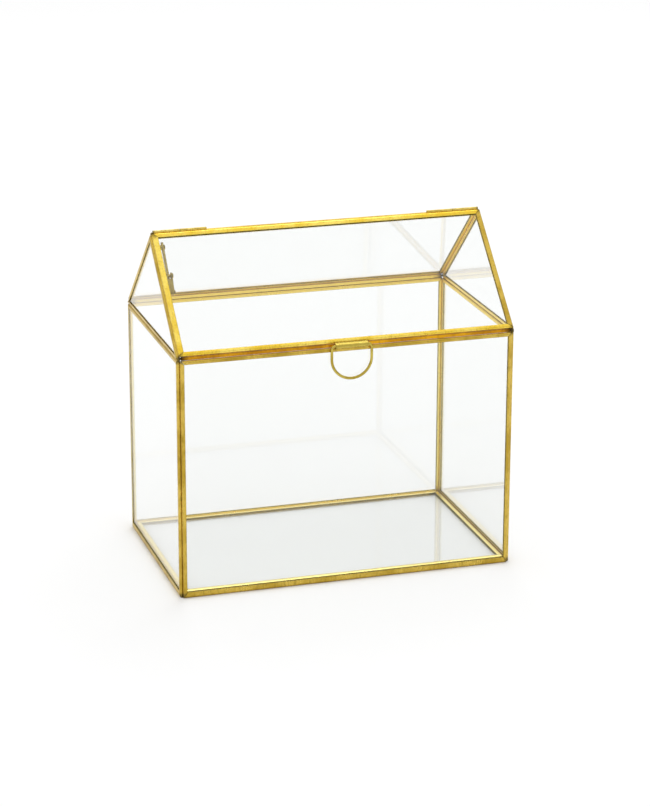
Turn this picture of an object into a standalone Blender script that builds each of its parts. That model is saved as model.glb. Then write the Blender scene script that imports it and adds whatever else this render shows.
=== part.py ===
"""Wedding card box: a clear glass house with brass edges and a hinged front roof door.

X runs along the ridge, Y from the front to the back, Z up. The origin is under the middle
of the outer size, the pull included. The front roof slope is the door. It hangs on two ridge hinges, a folding
stay holds it at the left gable, and a D-ring on its lower rail is the pull.
"""
import math

import bmesh
import bpy
from mathutils import Matrix, Vector

MM = 0.001

# Box: outer size, height of the wall panes' frames, pitch of the roof
WIDTH = 210.0 * MM
DEPTH = 129.3 * MM
WALL_HEIGHT = 148.8 * MM
PITCH = math.radians(42.45)

# Brass channel that edges every pane: thickness, face width, sheet, and its rounded back
CHANNEL = 2.4 * MM
FACE = 2.3 * MM
DOOR_FACE = 3.4 * MM
BOTTOM_FACE = 3.8 * MM
FLOOR_FACE = 3.6 * MM
FLOOR_CHANNEL = 3.6 * MM
SHEET = 0.25 * MM
BACK_RADIUS = CHANNEL / 2.0
ARC_STEPS = 8
GAP = 0.2 * MM
MITRE_GAP = 0.15 * MM

# Glass
GLASS = 1.4 * MM
FLOOR_GLASS = 2.2 * MM
GLASS_INSET = 1.0 * MM

# The rounded backs of two posts stand almost tangent when each is set in by this from the corner
SET_IN = (CHANNEL + GAP) / math.sqrt(2.0)
HALF_X = WIDTH / 2.0 - SET_IN
HALF_Y = DEPTH / 2.0 - SET_IN

# Eaves: a rail on each long wall carries the lower rail of the roof slope above it
EAVE_RAIL_HEIGHT = 2.0 * MM
EAVE_RAIL_DEPTH = 1.4 * MM
EAVE_RAIL_SET_BACK = 1.0 * MM
ROOF_EDGE_SET_BACK = 1.7 * MM
ROOF_EDGE_Z = WALL_HEIGHT + 2.0 * GAP + EAVE_RAIL_HEIGHT + BACK_RADIUS

# Roof planes: apex where the outer planes of the slopes meet
APEX_Z = (ROOF_EDGE_Z + BACK_RADIUS / math.cos(PITCH)
          + (DEPTH / 2.0 - ROOF_EDGE_SET_BACK) * math.tan(PITCH))
ROOF_SIDE_SET_IN = 0.95 * MM
ROOF_TOP = 1.93 * MM
ROOF_LENGTH = BACK_RADIUS + (APEX_Z - ROOF_EDGE_Z - BACK_RADIUS * math.cos(PITCH)) / math.sin(PITCH)
GABLE_DROP = CHANNEL + GAP
GABLE_BASE_Z = WALL_HEIGHT + GAP
GABLE_APEX_Z = APEX_Z - GABLE_DROP / math.cos(PITCH)
GABLE_HALF = (GABLE_APEX_Z - GABLE_BASE_Z) / math.tan(PITCH)

# Ridge hinges: two knuckles and a pin at each end of the ridge
HINGE_DROP = 1.2 * MM
KNUCKLE_RADIUS = 0.92 * MM
KNUCKLE_BORE = 0.56 * MM
HINGE_PIN_RADIUS = 0.5 * MM
KNUCKLE_START = 2.0 * MM
KNUCKLE_LENGTH = 16.3 * MM
KNUCKLE_GAP = 0.5 * MM
HINGE_PIN_SHORT = 0.3 * MM

# Pull: a D-ring of wire in a tube that is soldered to the door's lower rail
PULL_X = 1.1 * MM
PULL_FORWARD = 1.5 * MM
PULL_DROP = 2.1 * MM
SLEEVE_RADIUS = 1.5 * MM
SLEEVE_BORE = 0.93 * MM
SLEEVE_LENGTH = 20.3 * MM
TAB_HALF = 0.5 * MM
WIRE_RADIUS = 0.85 * MM
RING_HALF = 12.4 * MM
RING_SHOULDER = 2.0 * MM
RING_SIDE = 8.1 * MM

# Folding stay: places are (distance down the slope, height over the slope's outer plane)
STAY_HOLE = 0.96 * MM
STAY_PIN = 0.9 * MM
STAY_HEAD = 1.5 * MM
STAY_HEAD_THICK = 0.5 * MM
STUD_FLANGE = 1.7 * MM
STUD_FLANGE_THICK = 0.8 * MM
GABLE_PIVOT = (10.3 * MM, -4.3 * MM)
DOOR_PIVOT = (30.3 * MM, -4.6 * MM)
LONG_LINK_HALF = 1.3 * MM
LONG_LINK_TAIL = 3.3 * MM
SHORT_LINK_HALF = 2.0 * MM
SHORT_LINK_WEB = 0.6 * MM
SHORT_LINK_WEB_START = 2.4 * MM
LUG_HALF = 2.0 * MM
# Layers of the stay, measured from the left face of the box
LUG_LAYER = (2.7 * MM, 4.6 * MM)
SHORT_LINK_LAYER = (5.0 * MM, 8.5 * MM)
LONG_LINK_LAYER = (6.2 * MM, 7.3 * MM)

ROUND_STEPS = 24
# Outlines are filled at this enlargement, because fills of sub-millimetre shapes are coarse
FILL_SCALE = 1000.0
MERGE = 0.0001

X_AXIS = Vector((1.0, 0.0, 0.0))
Y_AXIS = Vector((0.0, 1.0, 0.0))
Z_AXIS = Vector((0.0, 0.0, 1.0))
APEX = Vector((0.0, 0.0, APEX_Z))
DOWN_SLOPE = Vector((0.0, -math.cos(PITCH), -math.sin(PITCH)))
DOOR_NORMAL = Vector((0.0, -math.sin(PITCH), math.cos(PITCH)))

for old in list(bpy.data.objects):
    bpy.data.objects.remove(old, do_unlink=True)

parts = bpy.data.collections.new("wedding_card_box")
cutters = bpy.data.collections.new("cutters")
bpy.context.scene.collection.children.link(parts)
bpy.context.scene.collection.children.link(cutters)


def make_material(name, colour, roughness, metallic, alpha=1.0):
    """Return a Principled material."""
    material = bpy.data.materials.new(name)
    material.use_nodes = True
    shader = material.node_tree.nodes["Principled BSDF"]
    shader.inputs["Base Color"].default_value = (*colour, 1.0)
    shader.inputs["Roughness"].default_value = roughness
    shader.inputs["Metallic"].default_value = metallic
    shader.inputs["Alpha"].default_value = alpha
    material.diffuse_color = (*colour, alpha)
    return material


FRAME_BRASS = make_material("frame_brass", (0.62, 0.46, 0.16), 0.34, 1.0)
DOOR_BRASS = make_material("door_brass", (0.80, 0.60, 0.20), 0.28, 1.0)
EAVE_BRASS = make_material("eave_brass", (0.55, 0.33, 0.06), 0.38, 1.0)
HINGE_BRASS = make_material("hinge_brass", (0.70, 0.52, 0.18), 0.30, 1.0)
PULL_BRASS = make_material("pull_brass", (0.66, 0.50, 0.18), 0.30, 1.0)
STAY_BRASS = make_material("stay_brass", (0.58, 0.45, 0.18), 0.36, 1.0)
CLEAR_GLASS = make_material("clear_glass", (0.90, 0.93, 0.92), 0.02, 0.0, 0.2)


def make_empty(name, place, parent=None):
    """Return an empty to hang pieces from."""
    empty = bpy.data.objects.new(name, None)
    empty.empty_display_size = 10.0 * MM
    empty.location = place
    empty.parent = parent
    parts.objects.link(empty)
    return empty


# All places below are measured from this empty, which stands under the middle of the box
box = make_empty("box", (0.0, (PULL_FORWARD + SLEEVE_RADIUS) / 2.0, 0.0))


def frame_matrix(origin, first, second, third):
    """Return the matrix of a local frame from its origin and its three axes."""
    turn = Matrix((first, second, third)).transposed()
    return Matrix.Translation(origin) @ turn.to_4x4()


def finish(name, mesh, material, matrix, parent=None):
    """Turn a mesh into a smooth-shaded object with crisp edges, placed by its matrix."""
    shell = bmesh.new()
    shell.from_mesh(mesh)
    bmesh.ops.remove_doubles(shell, verts=shell.verts, dist=MERGE)
    bmesh.ops.recalc_face_normals(shell, faces=shell.faces)
    bmesh.ops.scale(shell, vec=(1.0 / FILL_SCALE,) * 3, verts=shell.verts)
    shell.to_mesh(mesh)
    shell.free()
    mesh.polygons.foreach_set("use_smooth", [True] * len(mesh.polygons))
    mesh.set_sharp_from_angle(angle=math.radians(32.0))
    mesh.materials.clear()
    mesh.materials.append(material)
    piece = bpy.data.objects.new(name, mesh)
    parts.objects.link(piece)
    piece.parent = parent or box
    piece.matrix_basis = matrix
    if parent is not None:
        piece.matrix_basis = Matrix.Translation(-parent.location) @ matrix
    return piece


def curve_to_mesh(name, curve):
    """Convert a curve to a mesh of its own and remove the curve."""
    holder = bpy.data.objects.new(name, curve)
    parts.objects.link(holder)
    evaluated = holder.evaluated_get(bpy.context.evaluated_depsgraph_get())
    mesh = bpy.data.meshes.new_from_object(evaluated)
    bpy.data.objects.remove(holder, do_unlink=True)
    bpy.data.curves.remove(curve)
    return mesh


def add_spline(curve, points):
    """Add a closed straight-sided spline through the points, enlarged for the fill."""
    spline = curve.splines.new("POLY")
    spline.points.add(len(points) - 1)
    for control, point in zip(spline.points, points):
        control.co = (*(value * FILL_SCALE for value in point), 1.0)
    spline.use_cyclic_u = True


def prism_mesh(name, outlines, length):
    """Return a solid with flat outlines in its XY plane and its length along Z."""
    curve = bpy.data.curves.new(name, "CURVE")
    curve.dimensions = "2D"
    curve.fill_mode = "BOTH"
    curve.extrude = length / 2.0 * FILL_SCALE
    for outline in outlines:
        add_spline(curve, [(x, y, 0.0) for x, y in outline])
    return curve_to_mesh(name, curve)


def arc(centre, radius, start, end, steps):
    """Return points on an arc from one angle to another, both ends included."""
    angles = [start + (end - start) * step / steps for step in range(steps + 1)]
    return [(centre[0] + radius * math.cos(a), centre[1] + radius * math.sin(a)) for a in angles]


def circle(centre, radius):
    """Return the points of a full circle."""
    return arc(centre, radius, 0.0, 2.0 * math.pi, ROUND_STEPS)[:-1]


def channel_outline(face, thick=CHANNEL):
    """Return the section of a channel: x inwards from the rounded back, y outwards."""
    radius = thick / 2.0
    centre = (radius, -radius)
    top = math.pi / 2.0
    bottom = 3.0 * math.pi / 2.0
    outer = [(face, 0.0)] + arc(centre, radius, top, bottom, ARC_STEPS) + [(face, -thick)]
    inner_radius = radius - SHEET
    inner = arc(centre, inner_radius, bottom, top, ARC_STEPS)
    return outer + [(face, SHEET - thick)] + inner + [(face, -SHEET)]


def mitre_slope(corner, before, after, face_before, face):
    """Return how far a mitre moves along an edge for each unit inwards from it."""
    towards_before = (before - corner).normalized()
    towards_after = (after - corner).normalized()
    angle = towards_before.angle(towards_after)
    return (face_before + face * math.cos(angle)) / (math.sin(angle) * face)


def inset_outline(corners, inset):
    """Return a convex outline moved inwards by the inset on every edge."""
    points = []
    for index, corner in enumerate(corners):
        back = (corners[index - 1] - corner).normalized()
        ahead = (corners[(index + 1) % len(corners)] - corner).normalized()
        half_angle = back.angle(ahead) / 2.0
        bisector = (back + ahead).normalized()
        points.append(corner + bisector * (inset / math.sin(half_angle)))
    return points


def make_panel(name, origin, across, up, corners, edges, faces, brass, parent=None,
               thick=CHANNEL, glass=GLASS):
    """Make a pane and its mitred channels; corners run anticlockwise seen from outside."""
    normal = across.cross(up)
    corners = [Vector(corner) for corner in corners]
    count = len(corners)
    for index, edge in enumerate(edges):
        start = corners[index]
        end = corners[(index + 1) % count]
        face = faces[index]
        slope_start = mitre_slope(start, corners[index - 1], end, faces[index - 1], face)
        slope_end = mitre_slope(end, start, corners[(index + 2) % count],
                                faces[(index + 1) % count], face)
        half = (end - start).length / 2.0
        mesh = prism_mesh(f"{name}_channel_{edge}", [channel_outline(face, thick)], 2.0 * half)
        for vertex in mesh.vertices:
            slope = slope_start if vertex.co.z < 0.0 else slope_end
            cut = vertex.co.x * slope + MITRE_GAP / 2.0 * math.hypot(1.0, slope) * FILL_SCALE
            vertex.co.z -= math.copysign(cut, vertex.co.z)
        along_2d = (end - start).normalized()
        along = across * along_2d.x + up * along_2d.y
        middle = (start + end) / 2.0
        place = origin + across * middle.x + up * middle.y
        matrix = frame_matrix(place, normal.cross(along), normal, along)
        finish(f"{name}_channel_{edge}", mesh, brass, matrix, parent)
    pane = prism_mesh(f"{name}_pane", [inset_outline(corners, GLASS_INSET)], glass)
    matrix = frame_matrix(origin - normal * (thick / 2.0), across, up, normal)
    finish(f"{name}_pane", pane, CLEAR_GLASS, matrix, parent)


def rectangle(half_width, low, high):
    """Return the corners of an upright rectangle, anticlockwise from its lower left."""
    return [(-half_width, low), (half_width, low), (half_width, high), (-half_width, high)]


def make_bar(name, outlines, start, end, material, origin=None, first=Y_AXIS, parent=None):
    """Make a prism along X from start to end; its outlines are around origin."""
    origin = Vector(origin)
    mesh = prism_mesh(name, outlines, end - start)
    for vertex in mesh.vertices:
        vertex.co.z += ((start + end) / 2.0 - origin.x) * FILL_SCALE
    matrix = frame_matrix(origin, first, X_AXIS.cross(first), X_AXIS)
    return finish(name, mesh, material, matrix, parent)


def slope_place(spot, x=0.0):
    """Return the point at a distance down the door's slope and a height over its plane."""
    place = APEX + DOWN_SLOPE * spot[0] + DOOR_NORMAL * spot[1]
    return place + X_AXIS * x


# Walls, and the floor that lies between them
wall_faces = [BOTTOM_FACE, FACE, FACE, FACE]
floor_half_x = WIDTH / 2.0 - CHANNEL - GAP
floor_half_y = DEPTH / 2.0 - CHANNEL - GAP
make_panel("floor", Vector((0.0, 0.0, 0.0)), X_AXIS, -Y_AXIS,
           rectangle(floor_half_x, -floor_half_y, floor_half_y),
           ("back", "right", "front", "left"), [FLOOR_FACE] * 4, FRAME_BRASS,
           thick=FLOOR_CHANNEL, glass=FLOOR_GLASS)
make_panel("front", Vector((0.0, -DEPTH / 2.0, 0.0)), X_AXIS, Z_AXIS,
           rectangle(HALF_X, 0.0, WALL_HEIGHT),
           ("bottom", "right", "top", "left"), wall_faces, FRAME_BRASS)
make_panel("back", Vector((0.0, DEPTH / 2.0, 0.0)), -X_AXIS, Z_AXIS,
           rectangle(HALF_X, 0.0, WALL_HEIGHT),
           ("bottom", "left", "top", "right"), wall_faces, FRAME_BRASS)
make_panel("left", Vector((-WIDTH / 2.0, 0.0, 0.0)), -Y_AXIS, Z_AXIS,
           rectangle(HALF_Y, 0.0, WALL_HEIGHT),
           ("bottom", "front", "top", "back"), wall_faces, FRAME_BRASS)
make_panel("right", Vector((WIDTH / 2.0, 0.0, 0.0)), Y_AXIS, Z_AXIS,
           rectangle(HALF_Y, 0.0, WALL_HEIGHT),
           ("bottom", "back", "top", "front"), wall_faces, FRAME_BRASS)

# Gables, coplanar with the side walls
gable = [(-GABLE_HALF, GABLE_BASE_Z), (GABLE_HALF, GABLE_BASE_Z), (0.0, GABLE_APEX_Z)]
three = [FACE] * 3
make_panel("gable_left", Vector((-WIDTH / 2.0, 0.0, 0.0)), -Y_AXIS, Z_AXIS, gable,
           ("base", "front", "back"), three, FRAME_BRASS)
make_panel("gable_right", Vector((WIDTH / 2.0, 0.0, 0.0)), Y_AXIS, Z_AXIS, gable,
           ("base", "back", "front"), three, FRAME_BRASS)

# Eave rails on the front and back walls
rail_half = WIDTH / 2.0 - CHANNEL - GAP
rail_low = WALL_HEIGHT + GAP
rail_section = [(0.0, 0.0), (EAVE_RAIL_DEPTH, 0.0),
                (EAVE_RAIL_DEPTH, EAVE_RAIL_HEIGHT), (0.0, EAVE_RAIL_HEIGHT)]
rail_near = DEPTH / 2.0 - EAVE_RAIL_SET_BACK
make_bar("eave_rail_front", [rail_section], -rail_half, rail_half, EAVE_BRASS,
         (0.0, -rail_near, rail_low))
make_bar("eave_rail_back", [rail_section], -rail_half, rail_half, EAVE_BRASS,
         (0.0, rail_near - EAVE_RAIL_DEPTH, rail_low))

# Roof slopes: the back one is fixed, the front one is the door and turns on the hinge axis
slope = rectangle(WIDTH / 2.0 - ROOF_SIDE_SET_IN, -ROOF_LENGTH, -ROOF_TOP)
roof_faces = [FACE, DOOR_FACE, DOOR_FACE, DOOR_FACE]
hinge_place = APEX - Z_AXIS * HINGE_DROP
door_axis = make_empty("door_axis", hinge_place, box)
make_panel("roof_back", APEX, -X_AXIS, Vector((0.0, -math.cos(PITCH), math.sin(PITCH))), slope,
           ("eave", "left", "ridge", "right"), roof_faces, FRAME_BRASS)
make_panel("door", APEX, X_AXIS, -DOWN_SLOPE, slope,
           ("eave", "right", "ridge", "left"), roof_faces, DOOR_BRASS, door_axis)

# Ridge hinges: the outer knuckle of each is fixed, the inner one is the door's
knuckle = [circle((0.0, 0.0), KNUCKLE_RADIUS), circle((0.0, 0.0), KNUCKLE_BORE)]
pin = [circle((0.0, 0.0), HINGE_PIN_RADIUS)]
outer = (WIDTH / 2.0 - KNUCKLE_START, WIDTH / 2.0 - KNUCKLE_START - KNUCKLE_LENGTH)
inner = (outer[1] - KNUCKLE_GAP, outer[1] - KNUCKLE_GAP - KNUCKLE_LENGTH)
pin_span = (outer[0] - HINGE_PIN_SHORT, inner[1] + HINGE_PIN_SHORT)
for side, sign in (("left", -1.0), ("right", 1.0)):
    spans = {}
    for label, span in (("outer", outer), ("inner", inner), ("pin", pin_span)):
        spans[label] = sorted((sign * span[0], sign * span[1]))
    make_bar(f"hinge_{side}_outer_knuckle", knuckle, *spans["outer"], HINGE_BRASS, hinge_place)
    make_bar(f"hinge_{side}_inner_knuckle", knuckle, *spans["inner"], HINGE_BRASS, hinge_place,
             parent=door_axis)
    make_bar(f"hinge_{side}_pin", pin, *spans["pin"], HINGE_BRASS, hinge_place)

# Pull: sleeve with a soldering tab that points at the middle of the door's lower rail
pull_place = Vector((PULL_X, -DEPTH / 2.0 - PULL_FORWARD, ROOF_EDGE_Z - PULL_DROP))
to_rail_y = PULL_FORWARD + ROOF_EDGE_SET_BACK
tab_turn = math.atan2(PULL_DROP, to_rail_y)
tab_reach = math.hypot(PULL_DROP, to_rail_y) - BACK_RADIUS - GAP
tab_angle = math.asin(TAB_HALF / SLEEVE_RADIUS)
sleeve_outline = arc((0.0, 0.0), SLEEVE_RADIUS, tab_angle, 2.0 * math.pi - tab_angle, ROUND_STEPS)
sleeve_outline += [(tab_reach, -TAB_HALF), (tab_reach, TAB_HALF)]
tab_direction = Vector((0.0, math.cos(tab_turn), math.sin(tab_turn)))
make_bar("pull_sleeve", [sleeve_outline, circle((0.0, 0.0), SLEEVE_BORE)],
         PULL_X - SLEEVE_LENGTH / 2.0, PULL_X + SLEEVE_LENGTH / 2.0, PULL_BRASS,
         pull_place, tab_direction, door_axis)

# D-ring: its straight bar lies in the sleeve, its bow hangs down
wire = bpy.data.curves.new("pull_ring", "CURVE")
wire.dimensions = "3D"
wire.bevel_depth = WIRE_RADIUS * FILL_SCALE
wire.bevel_resolution = 4
bow_drop = RING_SHOULDER + (RING_SIDE - RING_SHOULDER)
shoulder = RING_HALF - RING_SHOULDER
path = arc((shoulder, -RING_SHOULDER), RING_SHOULDER, math.pi / 2.0, 0.0, 6)
path += arc((0.0, -bow_drop), RING_HALF, 0.0, -math.pi, 32)
path += arc((-shoulder, -RING_SHOULDER), RING_SHOULDER, math.pi, math.pi / 2.0, 6)
add_spline(wire, [(x, 0.0, z) for x, z in path])
finish("pull_ring", curve_to_mesh("pull_ring", wire), PULL_BRASS,
       Matrix.Translation(pull_place), door_axis)

# Folding stay at the left gable: the elbow keeps a parallelogram with the ridge hinge
hinge_spot = (HINGE_DROP * math.sin(PITCH), -HINGE_DROP * math.cos(PITCH))
elbow_spot = (GABLE_PIVOT[0] + DOOR_PIVOT[0] - hinge_spot[0],
              GABLE_PIVOT[1] + DOOR_PIVOT[1] - hinge_spot[1])
left_face = -WIDTH / 2.0
gable_pivot = slope_place(GABLE_PIVOT, left_face)
door_pivot = slope_place(DOOR_PIVOT, left_face)
elbow = slope_place(elbow_spot, left_face)


def make_turned(name, steps, place, material, parent=None):
    """Make a turned pin along X from (x, radius) steps measured from the left face."""
    ends = [(steps[0][0], 0.0)] + list(steps) + [(steps[-1][0], 0.0)]
    shell = bmesh.new()
    verts = [shell.verts.new((radius * FILL_SCALE, 0.0, x * FILL_SCALE)) for x, radius in ends]
    edges = [shell.edges.new(pair) for pair in zip(verts, verts[1:])]
    bmesh.ops.spin(shell, geom=verts + edges, cent=(0.0, 0.0, 0.0), axis=(0.0, 0.0, 1.0),
                   angle=2.0 * math.pi, steps=ROUND_STEPS, use_merge=True)
    mesh = bpy.data.meshes.new(name)
    shell.to_mesh(mesh)
    shell.free()
    matrix = frame_matrix(place, Y_AXIS, Z_AXIS, X_AXIS)
    return finish(name, mesh, material, matrix, parent)


long_low, long_high = LONG_LINK_LAYER
short_low, short_high = SHORT_LINK_LAYER
lug_low, lug_high = LUG_LAYER
stud_low = CHANNEL + GAP

# Gable stud: a flange on the rafter, a boss, and a headed pin for the long link
make_turned("stay_gable_stud",
            [(stud_low, STUD_FLANGE), (stud_low + STUD_FLANGE_THICK, STUD_FLANGE),
             (stud_low + STUD_FLANGE_THICK, STAY_HEAD), (long_low - GAP, STAY_HEAD),
             (long_low - GAP, STAY_PIN), (long_high + GAP, STAY_PIN),
             (long_high + GAP, STAY_HEAD), (long_high + GAP + STAY_HEAD_THICK, STAY_HEAD)],
            gable_pivot, STAY_BRASS)

# Door lug under the door's left channel, with a rivet through the short link
lug_top = -DOOR_PIVOT[1] - CHANNEL - GAP
lug_outline = arc((0.0, 0.0), LUG_HALF, math.pi, 2.0 * math.pi, 12)
lug_outline += [(LUG_HALF, lug_top), (-LUG_HALF, lug_top)]
make_bar("stay_door_lug", [lug_outline, circle((0.0, 0.0), STAY_HOLE)],
         left_face + lug_low, left_face + lug_high, STAY_BRASS,
         door_pivot, -DOWN_SLOPE, door_axis)
make_turned("stay_door_rivet",
            [(lug_low + GAP, STAY_PIN), (short_high + GAP, STAY_PIN),
             (short_high + GAP, STAY_HEAD), (short_high + GAP + STAY_HEAD_THICK, STAY_HEAD)],
            door_pivot, STAY_BRASS, door_axis)

# Long link: a flat bar from the gable stud to the elbow, with a tail past the stud
link_direction = (elbow - gable_pivot).normalized()
long_length = (elbow - gable_pivot).length
long_outline = arc((long_length, 0.0), LONG_LINK_HALF, -math.pi / 2.0, math.pi / 2.0, 12)
long_outline += arc((LONG_LINK_HALF - LONG_LINK_TAIL, 0.0), LONG_LINK_HALF,
                    math.pi / 2.0, 3.0 * math.pi / 2.0, 12)
make_bar("stay_long_link",
         [long_outline, circle((0.0, 0.0), STAY_HOLE), circle((long_length, 0.0), STAY_HOLE)],
         left_face + long_low, left_face + long_high, STAY_BRASS, gable_pivot, link_direction)
make_turned("stay_elbow_rivet",
            [(short_low - GAP - STAY_HEAD_THICK, STAY_HEAD), (short_low - GAP, STAY_HEAD),
             (short_low - GAP, STAY_PIN), (short_high + GAP, STAY_PIN),
             (short_high + GAP, STAY_HEAD), (short_high + GAP + STAY_HEAD_THICK, STAY_HEAD)],
            elbow, STAY_BRASS)

# Short link: a folded channel that straddles the long link and the lug's rivet
short_direction = (elbow - door_pivot).normalized()
short_length = (elbow - door_pivot).length
short_outline = arc((short_length, 0.0), SHORT_LINK_HALF, -math.pi / 2.0, math.pi / 2.0, 12)
short_outline += arc((0.0, 0.0), SHORT_LINK_HALF, math.pi / 2.0, 3.0 * math.pi / 2.0, 12)
short_link = make_bar("stay_short_link",
                      [short_outline, circle((0.0, 0.0), STAY_HOLE),
                       circle((short_length, 0.0), STAY_HOLE)],
                      left_face + short_low, left_face + short_high, STAY_BRASS,
                      door_pivot, short_direction)
past = 2.0 * SHORT_LINK_HALF
web_inside = SHORT_LINK_WEB - SHORT_LINK_HALF
slot_outline = [(-past, -past), (SHORT_LINK_WEB_START, -past), (SHORT_LINK_WEB_START, web_inside),
                (short_length + past, web_inside), (short_length + past, past), (-past, past)]
slot = make_bar("stay_short_link_slot", [slot_outline],
                left_face + short_low + SHORT_LINK_WEB, left_face + short_high - SHORT_LINK_WEB,
                STAY_BRASS, door_pivot, short_direction)
parts.objects.unlink(slot)
cutters.objects.link(slot)
slot.hide_render = True
slot.display_type = "WIRE"
slot_cut = short_link.modifiers.new("slot", "BOOLEAN")
slot_cut.operation = "DIFFERENCE"
slot_cut.solver = "EXACT"
slot_cut.object = slot
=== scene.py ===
"""Looks for the wedding card box: soldered brass edging, clear glass, a pale studio.

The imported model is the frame. Every CAD node keeps its shape and gets a material with the
grain, tarnish and solder marks of the real brass, or the sheen of clear sheet glass.
"""
import math

import bmesh
import bpy
from mathutils import Matrix, Vector, noise


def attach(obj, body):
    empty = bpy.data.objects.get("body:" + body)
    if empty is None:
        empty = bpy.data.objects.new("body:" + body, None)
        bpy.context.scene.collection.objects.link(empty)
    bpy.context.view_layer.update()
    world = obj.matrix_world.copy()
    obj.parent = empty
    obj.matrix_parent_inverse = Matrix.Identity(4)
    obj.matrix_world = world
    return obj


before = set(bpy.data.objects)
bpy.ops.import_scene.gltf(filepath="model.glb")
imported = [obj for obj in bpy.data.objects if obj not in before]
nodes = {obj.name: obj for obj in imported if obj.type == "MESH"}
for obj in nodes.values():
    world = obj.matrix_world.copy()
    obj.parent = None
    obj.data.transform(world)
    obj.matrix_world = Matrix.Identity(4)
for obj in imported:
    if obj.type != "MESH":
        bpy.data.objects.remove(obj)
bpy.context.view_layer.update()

MM = 0.001

# Box: outer half sizes, its middle, and the heights of the eave corners and the ridge
HALF_X = 105.0 * MM
HALF_Y = 64.65 * MM
MIDDLE_Y = 1.5 * MM
MIDDLE_Z = 80.0 * MM
EAVE_Z = 150.0 * MM
ROOF_TOP_Z = 211.3 * MM

# Camera: where it stands, which way it looks, and its lens
CAMERA_PLACE = Vector((-471.3, -1547.5, 627.9)) * MM
CAMERA_AZIMUTH = math.radians(17.0875)
CAMERA_DOWN = math.radians(18.2708)
CAMERA_ROLL = math.radians(0.1452)
CAMERA_LENS = 122.77
CAMERA_SENSOR = 36.0

# Studio: sky strength at the horizon and overhead, the key light, and the paper on the table
SKY_LOW = 0.42
SKY_HIGH = 1.035
SKY_FULL_HEIGHT = 0.5
KEY_PLACE = (0.5, 0.9, 1.8)
KEY_TARGET = (0.0, 0.0, 0.1)
KEY_SIZE = 0.9
KEY_POWER = 6.0
FLOOR_HALF = 12.0
FLOOR_COLOUR = (0.95, 0.95, 0.95, 1.0)

# Brass grain: noise scales per metre, and how strongly each mark shows
BLOTCH_SCALE = 60.0
STREAK_SCALE = 1300.0
STREAK_STRETCH = (1.0, 1.0, 0.2)
STREAK_TURN = (0.5, 0.65, 0.3)
SPOT_SCALE = 480.0
STREAK_SHARE = 0.45
INNER_STREAK_SHARE = 0.25
SPOT_SHARE = 0.35
# Strength of the painted shade along the rolled edges
RIM_SHADE_SHARE = 0.75
SOLDER_SHARE = 0.72
# Strength of the painted shade at the ends of the eave grooves
GROOVE_SHADE_SHARE = 0.93
GRAIN_HEIGHT = 0.06 * MM
GRAIN_STRENGTH = 0.35

# Soldered corners, and painted shade at the ends of the eave grooves: how far the dark marks reach,
# and how ragged their outline is
SOLDER_START = 1.4 * MM
SOLDER_REACH = 4.0 * MM
GROOVE_SHADE_START = 2.0 * MM
GROOVE_SHADE_REACH = 9.0 * MM
WANDER_SCALE = 260.0
WANDER = 1.5 * MM
SOLDER_COLOUR = (0.075, 0.06, 0.03)
GROOVE_SHADE_COLOUR = (0.035, 0.018, 0.008)

# Painted shade in the folds and along the rolled edges of the strips
FOLD_SHADE_REACH = 0.8 * MM
ROLLED_EDGE = 0.55 * MM
PAINTED_SHADE_COLOUR = (0.10, 0.075, 0.012)

# Painted light: faces turned into the box are painted paler, cream near the floor and turning gold
# toward the eaves
LIT_CREAM = (1.0, 0.83, 0.27)
LIT_INNER_GOLD = (0.98, 0.74, 0.15)
CREAM_TOP = 90.0 * MM
GOLD_START = 145.0 * MM
TARNISH = (0.24, 0.17, 0.025)

# Glass: its tint as seen, and its tint for the studio light that passes through
GLASS_TINT = (0.955, 0.962, 0.958)
GLASS_LIGHT_TINT = (0.984, 0.987, 0.985)
GLASS_INDEX = 1.5

# Faint smears on the glass, stretched upright
SMEAR_SCALE = 26.0
SMEAR_STRETCH = (1.0, 1.0, 0.35)
SMEAR_TURN = (0.2, 0.4, 0.1)
SMEAR_ROUGHNESS = 0.012

# Solder lumps at the eave corners: height, half sizes, set-in from the outer faces, unevenness
LUMP_Z = 150.1 * MM
LUMP_SIZE = (1.1 * MM, 1.1 * MM, 0.85 * MM)
LUMP_SET_IN = (1.6 * MM, 1.9 * MM)
LUMP_BUMP_SCALE = 1.3
LUMP_BUMPS = 0.28


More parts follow.
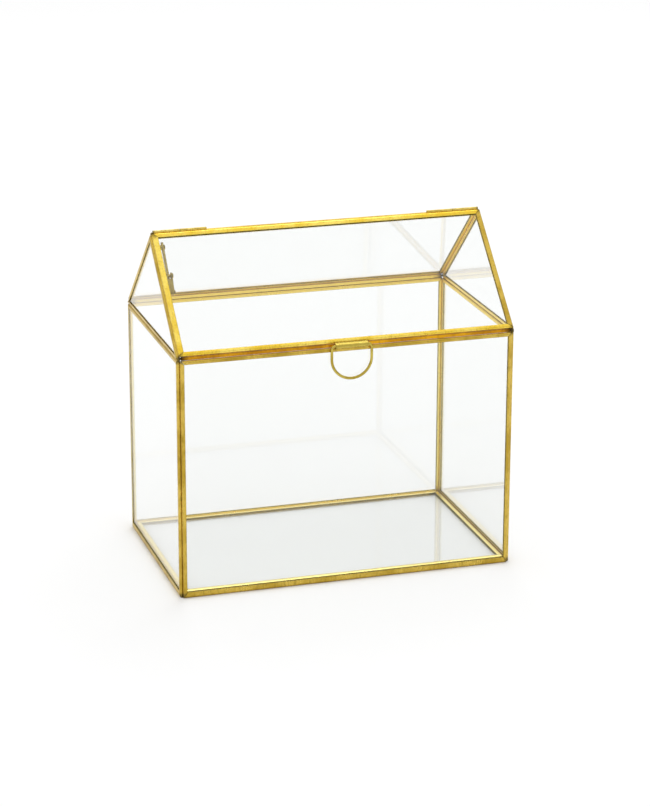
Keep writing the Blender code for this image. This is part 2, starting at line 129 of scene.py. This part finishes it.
class Graph:
    """Short calls for a material's node graph."""

    def __init__(self, owner):
        owner.use_nodes = True
        self.tree = owner.node_tree
        self.shader = self.tree.nodes.get("Principled BSDF")

    def node(self, kind, **settings):
        """Add a node and set its properties."""
        made = self.tree.nodes.new(kind)
        for key, value in settings.items():
            setattr(made, key, value)
        return made

    def feed(self, socket, source):
        """Link a socket to another, or set its value."""
        if isinstance(source, bpy.types.NodeSocket):
            self.tree.links.new(source, socket)
        else:
            socket.default_value = source

    def math(self, operation, first, second=0.0, third=0.0, clamp=False):
        """Return the result of a Math node."""
        made = self.node("ShaderNodeMath", operation=operation, use_clamp=clamp)
        for socket, source in zip(made.inputs, (first, second, third)):
            self.feed(socket, source)
        return made.outputs[0]

    def noise(self, vector, scale, detail=3.0, roughness=0.5):
        """Return the value of a Noise Texture."""
        made = self.node("ShaderNodeTexNoise")
        self.feed(made.inputs["Vector"], vector)
        made.inputs["Scale"].default_value = scale
        made.inputs["Detail"].default_value = detail
        made.inputs["Roughness"].default_value = roughness
        return made.outputs["Fac"]

    def ramp(self, value, low, high, start=0.0, end=1.0):
        """Return a value mapped smoothly from one range to another."""
        made = self.node("ShaderNodeMapRange", interpolation_type="SMOOTHSTEP")
        self.feed(made.inputs["Value"], value)
        made.inputs["From Min"].default_value = low
        made.inputs["From Max"].default_value = high
        made.inputs["To Min"].default_value = start
        made.inputs["To Max"].default_value = end
        return made.outputs["Result"]

    def mix(self, factor, first, second):
        """Return a colour mixed from two."""
        made = self.node("ShaderNodeMix", data_type="RGBA")
        self.feed(made.inputs["Factor"], factor)
        colours = [socket for socket in made.inputs if socket.type == "RGBA"]
        self.feed(colours[0], first)
        self.feed(colours[1], second)
        return [socket for socket in made.outputs if socket.type == "RGBA"][0]

    def place(self):
        """Return the place on the object."""
        return self.node("ShaderNodeTexCoord").outputs["Object"]

    def mapped(self, vector, scale=(1.0, 1.0, 1.0), turn=(0.0, 0.0, 0.0), shift=(0.0, 0.0, 0.0)):
        """Return a vector scaled, turned and shifted."""
        made = self.node("ShaderNodeMapping")
        self.feed(made.inputs["Vector"], vector)
        made.inputs["Scale"].default_value = scale
        made.inputs["Rotation"].default_value = turn
        made.inputs["Location"].default_value = shift
        return made.outputs["Vector"]

    def split(self, vector):
        """Return the three parts of a vector."""
        made = self.node("ShaderNodeSeparateXYZ")
        self.feed(made.inputs[0], vector)
        return made.outputs[0], made.outputs[1], made.outputs[2]

    def inward(self):
        """Return 1 where the surface faces the middle of the box and 0 where it faces out."""
        coordinates = self.node("ShaderNodeTexCoord")
        from_middle = self.mapped(coordinates.outputs["Object"], shift=(0.0, -MIDDLE_Y, -MIDDLE_Z))
        turned_in = self.node("ShaderNodeVectorMath", operation="DOT_PRODUCT")
        self.feed(turned_in.inputs[0], coordinates.outputs["Normal"])
        self.feed(turned_in.inputs[1], from_middle)
        return self.ramp(turned_in.outputs["Value"], -12.0 * MM, -4.0 * MM, 1.0, 0.0)

    def corner_distances(self):
        """Return how far a point is from the nearest base, eave and ridge corner of the box."""
        across, along, up = self.split(self.mapped(self.place(), shift=(0.0, -MIDDLE_Y, 0.0)))
        from_side = self.math("SUBTRACT", HALF_X, self.math("ABSOLUTE", across))
        from_face = self.math("SUBTRACT", HALF_Y, self.math("ABSOLUTE", along))
        side_face = self.math("MAXIMUM", from_side, from_face)
        base = self.math("MAXIMUM", side_face, up)
        eave_height = self.math("ABSOLUTE", self.math("SUBTRACT", up, EAVE_Z))
        eave = self.math("MAXIMUM", side_face, eave_height)
        below_ridge = self.math("SUBTRACT", ROOF_TOP_Z, up)
        ridge = self.math("MAXIMUM", from_side, below_ridge)
        nearest = self.math("MINIMUM", base, self.math("MINIMUM", eave, ridge))
        return nearest, from_side


def rgb(red, green, blue):
    """Return a colour with full alpha."""
    return (red, green, blue, 1.0)


def brass(name, light, deep, tarnish, lit_inner, roughness, seed, edge_shade=0.8, shade_groove_ends=False):
    """Return brass with striations, blotches, painted shade in the seams and along the rolled edges,
    and solder at the corners.
    """
    material = bpy.data.materials.new(name)
    graph = Graph(material)
    shader = graph.shader

    # Blotches and diagonal striations, with inside faces painted paler as painted light, and small
    # dark spots
    moved = graph.mapped(graph.place(), shift=(seed, 2.0 * seed, 3.0 * seed))
    blotch = graph.noise(moved, BLOTCH_SCALE, 4.0, 0.6)
    streak = graph.noise(graph.mapped(moved, STREAK_STRETCH, STREAK_TURN), STREAK_SCALE, 2.0, 0.6)
    dark_streak = graph.ramp(streak, 0.50, 0.70)
    colour = graph.mix(graph.ramp(blotch, 0.36, 0.64), rgb(*light), rgb(*deep))
    colour = graph.mix(graph.math("MULTIPLY", dark_streak, STREAK_SHARE), colour, rgb(*tarnish))
    height = graph.split(graph.place())[2]
    # Painted light: faces turned into the box are paler, cream low down and gold toward the eaves
    pale = graph.mix(graph.ramp(height, CREAM_TOP, GOLD_START), rgb(*lit_inner), rgb(*LIT_INNER_GOLD))
    pale = graph.mix(graph.math("MULTIPLY", dark_streak, INNER_STREAK_SHARE), pale, rgb(*light))
    colour = graph.mix(graph.inward(), colour, pale)
    spots = graph.ramp(graph.noise(moved, SPOT_SCALE, 4.0, 0.7), 0.60, 0.74)
    colour = graph.mix(graph.math("MULTIPLY", spots, SPOT_SHARE), colour, rgb(*tarnish))

    # Painted shade in the folds, where the strip's own faces close in
    fold_ao = graph.node("ShaderNodeAmbientOcclusion", samples=8, only_local=True)
    fold_ao.inputs["Distance"].default_value = FOLD_SHADE_REACH
    fold_shade = graph.ramp(fold_ao.outputs["AO"], 0.25, 0.85, 1.0, 0.0)
    colour = graph.mix(graph.math("MULTIPLY", fold_shade, edge_shade), colour, rgb(*PAINTED_SHADE_COLOUR))

    # Painted shade: dark lines along the rolled edges, where the rounded normal leaves the flat one
    rounded = graph.node("ShaderNodeBevel", samples=6)
    rounded.inputs["Radius"].default_value = ROLLED_EDGE
    flat = graph.node("ShaderNodeNewGeometry")
    agree = graph.node("ShaderNodeVectorMath", operation="DOT_PRODUCT")
    graph.feed(agree.inputs[0], rounded.outputs["Normal"])
    graph.feed(agree.inputs[1], flat.outputs["Normal"])
    rim_shade = graph.ramp(agree.outputs["Value"], 0.80, 0.985, 1.0, 0.0)
    colour = graph.mix(graph.math("MULTIPLY", rim_shade, RIM_SHADE_SHARE * edge_shade), colour, rgb(*PAINTED_SHADE_COLOUR))

    # Solder at the corners, and painted shade at the ends of the eave grooves
    nearest, from_side = graph.corner_distances()
    wander = graph.math("MULTIPLY_ADD", graph.noise(moved, WANDER_SCALE, 3.0), 2.0 * WANDER, -WANDER)
    ragged = graph.math("ADD", nearest, wander)
    solder = graph.ramp(ragged, SOLDER_START, SOLDER_REACH, 1.0, 0.0)
    colour = graph.mix(graph.math("MULTIPLY", solder, SOLDER_SHARE), colour, rgb(*SOLDER_COLOUR))
    if shade_groove_ends:
        ragged = graph.math("ADD", from_side, wander)
        end_shade = graph.ramp(ragged, GROOVE_SHADE_START, GROOVE_SHADE_REACH, 1.0, 0.0)
        colour = graph.mix(graph.math("MULTIPLY", end_shade, GROOVE_SHADE_SHARE), colour, rgb(*GROOVE_SHADE_COLOUR))
    graph.feed(shader.inputs["Base Color"], colour)
    shader.inputs["Metallic"].default_value = 1.0

    # Gloss follows the blotches and striations, and is duller on solder
    rough = graph.math("MULTIPLY_ADD", blotch, 0.20, roughness - 0.10)
    rough = graph.math("MULTIPLY_ADD", streak, 0.16, graph.math("SUBTRACT", rough, 0.08))
    rough = graph.math("MULTIPLY_ADD", solder, 0.20, rough, clamp=True)
    graph.feed(shader.inputs["Roughness"], rough)
    bump = graph.node("ShaderNodeBump")
    bump.inputs["Strength"].default_value = GRAIN_STRENGTH
    bump.inputs["Distance"].default_value = GRAIN_HEIGHT
    graph.feed(bump.inputs["Height"], streak)
    graph.feed(bump.inputs["Normal"], rounded.outputs["Normal"])
    graph.feed(shader.inputs["Normal"], bump.outputs["Normal"])
    return material


def glass():
    """Return clear sheet glass that reflects by angle and lets the studio light through."""
    material = bpy.data.materials.new("clear_glass")
    graph = Graph(material)
    shader = graph.shader
    smeared = graph.mapped(graph.place(), SMEAR_STRETCH, SMEAR_TURN)
    smear = graph.noise(smeared, SMEAR_SCALE, 4.0, 0.6)
    shader.inputs["Base Color"].default_value = rgb(*GLASS_TINT)
    graph.feed(shader.inputs["Roughness"], graph.ramp(smear, 0.45, 0.8, 0.0, SMEAR_ROUGHNESS))
    shader.inputs["IOR"].default_value = GLASS_INDEX
    shader.inputs["Transmission Weight"].default_value = 1.0
    path = graph.node("ShaderNodeLightPath")
    passing = graph.math("MAXIMUM", path.outputs["Is Shadow Ray"], path.outputs["Is Diffuse Ray"])
    clear = graph.node("ShaderNodeBsdfTransparent")
    clear.inputs["Color"].default_value = rgb(*GLASS_LIGHT_TINT)
    blend = graph.node("ShaderNodeMixShader")
    graph.feed(blend.inputs[0], passing)
    graph.feed(blend.inputs[1], shader.outputs[0])
    graph.feed(blend.inputs[2], clear.outputs[0])
    graph.feed(graph.tree.nodes["Material Output"].inputs["Surface"], blend.outputs[0])
    return material


# Materials: the light and the deep tone of each brass, its tarnish, painted-light inside tone, gloss
# and seed
FRAME_BRASS = brass("frame_brass", (0.68, 0.48, 0.09), (0.50, 0.33, 0.04), TARNISH, LIT_CREAM, 0.30, 0.3)
# Painted light: the door's brass is a paler, brighter copy of the frame's brass
LIT_DOOR_BRASS = brass("door_brass", (0.98, 0.76, 0.16), (0.84, 0.57, 0.05), (0.40, 0.27, 0.02), LIT_CREAM,
                   0.26, 1.1)
# Painted shade: the eave brass is a darker, more orange copy that stands in for shade in its groove
EAVE_SHADED_BRASS = brass("eave_brass", (0.80, 0.40, 0.015), (0.52, 0.22, 0.01), (0.20, 0.09, 0.01), LIT_CREAM,
                   0.36, 0.7, shade_groove_ends=True)
HINGE_BRASS = brass("hinge_brass", (0.74, 0.58, 0.18), (0.52, 0.38, 0.08), TARNISH, LIT_CREAM, 0.28, 1.9,
                    edge_shade=0.5)
PULL_BRASS = brass("pull_brass", (0.62, 0.49, 0.10), (0.46, 0.34, 0.05), TARNISH, LIT_CREAM, 0.24, 2.3,
                   edge_shade=0.6)
STAY_BRASS = brass("stay_brass", (0.46, 0.36, 0.10), (0.34, 0.25, 0.055), TARNISH, LIT_CREAM, 0.34, 2.9,
                   edge_shade=0.7)
SOLDER = brass("solder", (0.13, 0.10, 0.05), (0.07, 0.05, 0.025), (0.03, 0.02, 0.01),
               (0.10, 0.08, 0.04), 0.42, 3.7, edge_shade=0.3)
GLASS = glass()
BRASS_BY_START = {"eave_rail": EAVE_SHADED_BRASS, "hinge": HINGE_BRASS, "pull": PULL_BRASS,
                  "stay": STAY_BRASS}


def material_of(name):
    """Return the material of a CAD node; the door's channels take a brighter brass as painted light,
    and its right channel, on the shaded side, is as dull as the frame.
    """
    if name.endswith("_pane"):
        return GLASS
    if name.startswith("door_channel") and not name.endswith("right"):
        return LIT_DOOR_BRASS
    for start, material in BRASS_BY_START.items():
        if name.startswith(start):
            return material
    return FRAME_BRASS


for name, node in nodes.items():
    for slot in node.material_slots:
        slot.material = material_of(name)


def solder_lump(name, place, seed):
    """Make a small uneven lump of solder, flattened against the rails."""
    mesh = bpy.data.meshes.new(name)
    lump = bpy.data.objects.new(name, mesh)
    bpy.context.scene.collection.objects.link(lump)
    shape = bmesh.new()
    bmesh.ops.create_icosphere(shape, subdivisions=3, radius=1.0)
    for vertex in shape.verts:
        bumps = noise.noise(vertex.co * LUMP_BUMP_SCALE + Vector((seed, 0.0, 0.0)))
        vertex.co = Vector([part * (1.0 + LUMP_BUMPS * bumps) * reach
                            for part, reach in zip(vertex.co, LUMP_SIZE)])
    for face in shape.faces:
        face.smooth = True
    shape.to_mesh(mesh)
    shape.free()
    lump.location = place
    mesh.materials.append(SOLDER)
    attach(lump, "box")


# Solder: a dark lump where the wall frames meet at each eave corner
lump_x = HALF_X - LUMP_SET_IN[0]
lump_y = HALF_Y - LUMP_SET_IN[1]
corners = ((-lump_x, -lump_y), (-lump_x, lump_y), (lump_x, -lump_y), (lump_x, lump_y))
for index, (across, along) in enumerate(corners):
    seed = 2 * (index + 1)
    solder_lump(f"solder_eave_{seed}", Vector((across, MIDDLE_Y + along, LUMP_Z)), seed)

# Floor: a large pale sheet of paper
bpy.ops.mesh.primitive_grid_add(x_subdivisions=2, y_subdivisions=2, size=2.0 * FLOOR_HALF)
floor = bpy.context.object
floor.name = "studio_floor"
paper = bpy.data.materials.new("studio_paper")
paper_graph = Graph(paper)
paper_graph.shader.inputs["Base Color"].default_value = FLOOR_COLOUR
paper_graph.shader.inputs["Roughness"].default_value = 0.8
floor.data.materials.append(paper)

# Sky: bright overhead, softer toward the horizon, so brass shows light and dark sides
world = bpy.data.worlds.new("studio")
bpy.context.scene.world = world
sky = Graph(world)
direction = sky.node("ShaderNodeTexCoord").outputs["Generated"]
height = sky.split(direction)[2]
bright = sky.ramp(height, 0.0, SKY_FULL_HEIGHT, SKY_LOW, SKY_HIGH)
background = world.node_tree.nodes["Background"]
background.inputs["Color"].default_value = rgb(1.0, 1.0, 1.0)
sky.feed(background.inputs["Strength"], bright)


def soft_light(name, place, target, size, power):
    """Add a square area light that faces the target."""
    data = bpy.data.lights.new(name, "AREA")
    data.size = size
    data.energy = power
    light = bpy.data.objects.new(name, data)
    bpy.context.scene.collection.objects.link(light)
    light.location = place
    light.rotation_euler = (Vector(target) - Vector(place)).to_track_quat("-Z", "Y").to_euler()


soft_light("key_light", KEY_PLACE, KEY_TARGET, KEY_SIZE, KEY_POWER)

# Camera: built from its forward, right and up directions
forward = Vector((math.sin(CAMERA_AZIMUTH) * math.cos(CAMERA_DOWN),
                  math.cos(CAMERA_AZIMUTH) * math.cos(CAMERA_DOWN),
                  -math.sin(CAMERA_DOWN)))
level_right = Vector((math.cos(CAMERA_AZIMUTH), -math.sin(CAMERA_AZIMUTH), 0.0))
level_up = level_right.cross(forward)
right = level_right * math.cos(CAMERA_ROLL) + level_up * math.sin(CAMERA_ROLL)
up = level_up * math.cos(CAMERA_ROLL) - level_right * math.sin(CAMERA_ROLL)
camera_data = bpy.data.cameras.new("camera")
camera_data.lens = CAMERA_LENS
camera_data.sensor_width = CAMERA_SENSOR
camera_data.clip_start = 0.05
camera_data.clip_end = 20.0
camera = bpy.data.objects.new("camera", camera_data)
bpy.context.scene.collection.objects.link(camera)
turned = Matrix((right, up, -forward)).transposed().to_4x4()
camera.matrix_world = Matrix.Translation(CAMERA_PLACE) @ turned
bpy.context.scene.camera = camera
bpy.context.scene.view_settings.view_transform = "Standard"
